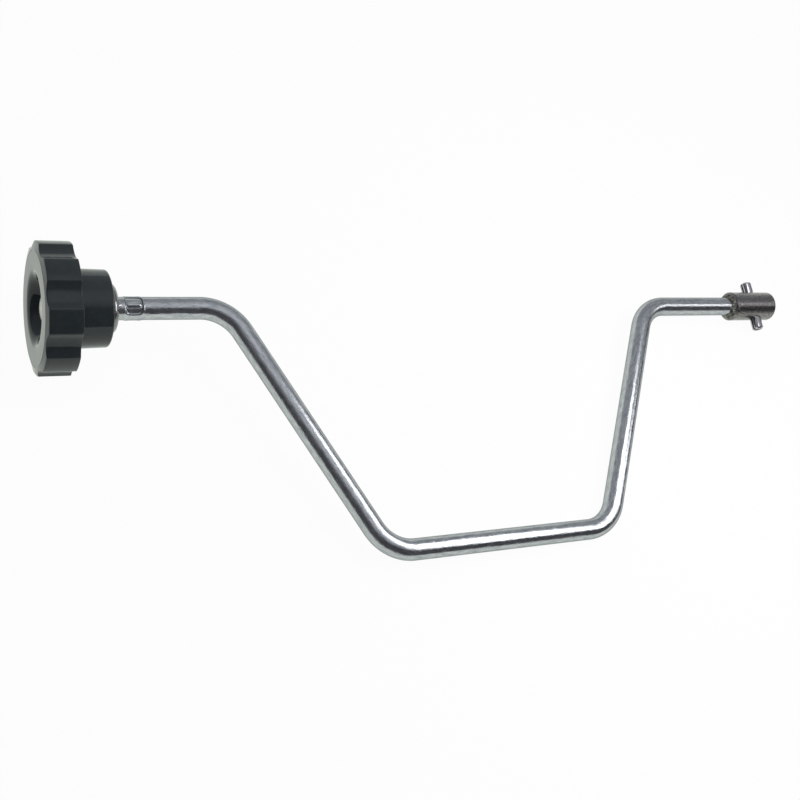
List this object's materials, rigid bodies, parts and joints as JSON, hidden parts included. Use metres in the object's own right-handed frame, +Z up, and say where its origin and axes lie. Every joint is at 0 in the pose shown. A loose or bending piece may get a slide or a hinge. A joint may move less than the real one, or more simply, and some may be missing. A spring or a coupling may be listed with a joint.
{
  "type": "crank handle",
  "caption": "Bent steel crank with a free-spinning lobed black knob on one end and a welded drive collar with a cross pin on the other.",
  "frame": {"origin": "centre of the bounding box in plan, on the floor that the crank lies on", "axes": "+X from the knob to the drive collar, +Z up, +Y away from the throw; the crank lies on its knob's rim, one bend and the collar's end, so its turning axis slopes down about 3 degrees toward +X"},
  "size_m": [0.5224, 0.1899, 0.0721],
  "materials": {
    "plated_bar": "bright plated bar, slightly wavy",
    "black_moulding": "glossy black moulded plastic",
    "bush_steel": "plain turned steel",
    "washer_steel": "bright plated steel",
    "collar_steel": "dull zinc plate",
    "weld_metal": "rough, heat-stained weld bead",
    "pin_steel": "bright spring steel"
  },
  "bodies": {
    "crank": {"crank_rod": "plated_bar", "front_washer": "washer_steel", "dome_washer": "washer_steel", "drive_collar": "collar_steel", "collar_weld": "weld_metal", "cross_pin": "pin_steel"},
    "spinner": {"knob": "black_moulding", "knob_bush": "bush_steel"}
  },
  "joints": [
    {"name": "knob_spin", "type": "hinge", "parent": "crank", "child": "spinner", "pos_m": [-0.2415, 0.05926, 0.03564], "axis": [0.9987, 0, -0.0509], "continuous": true}
  ]
}
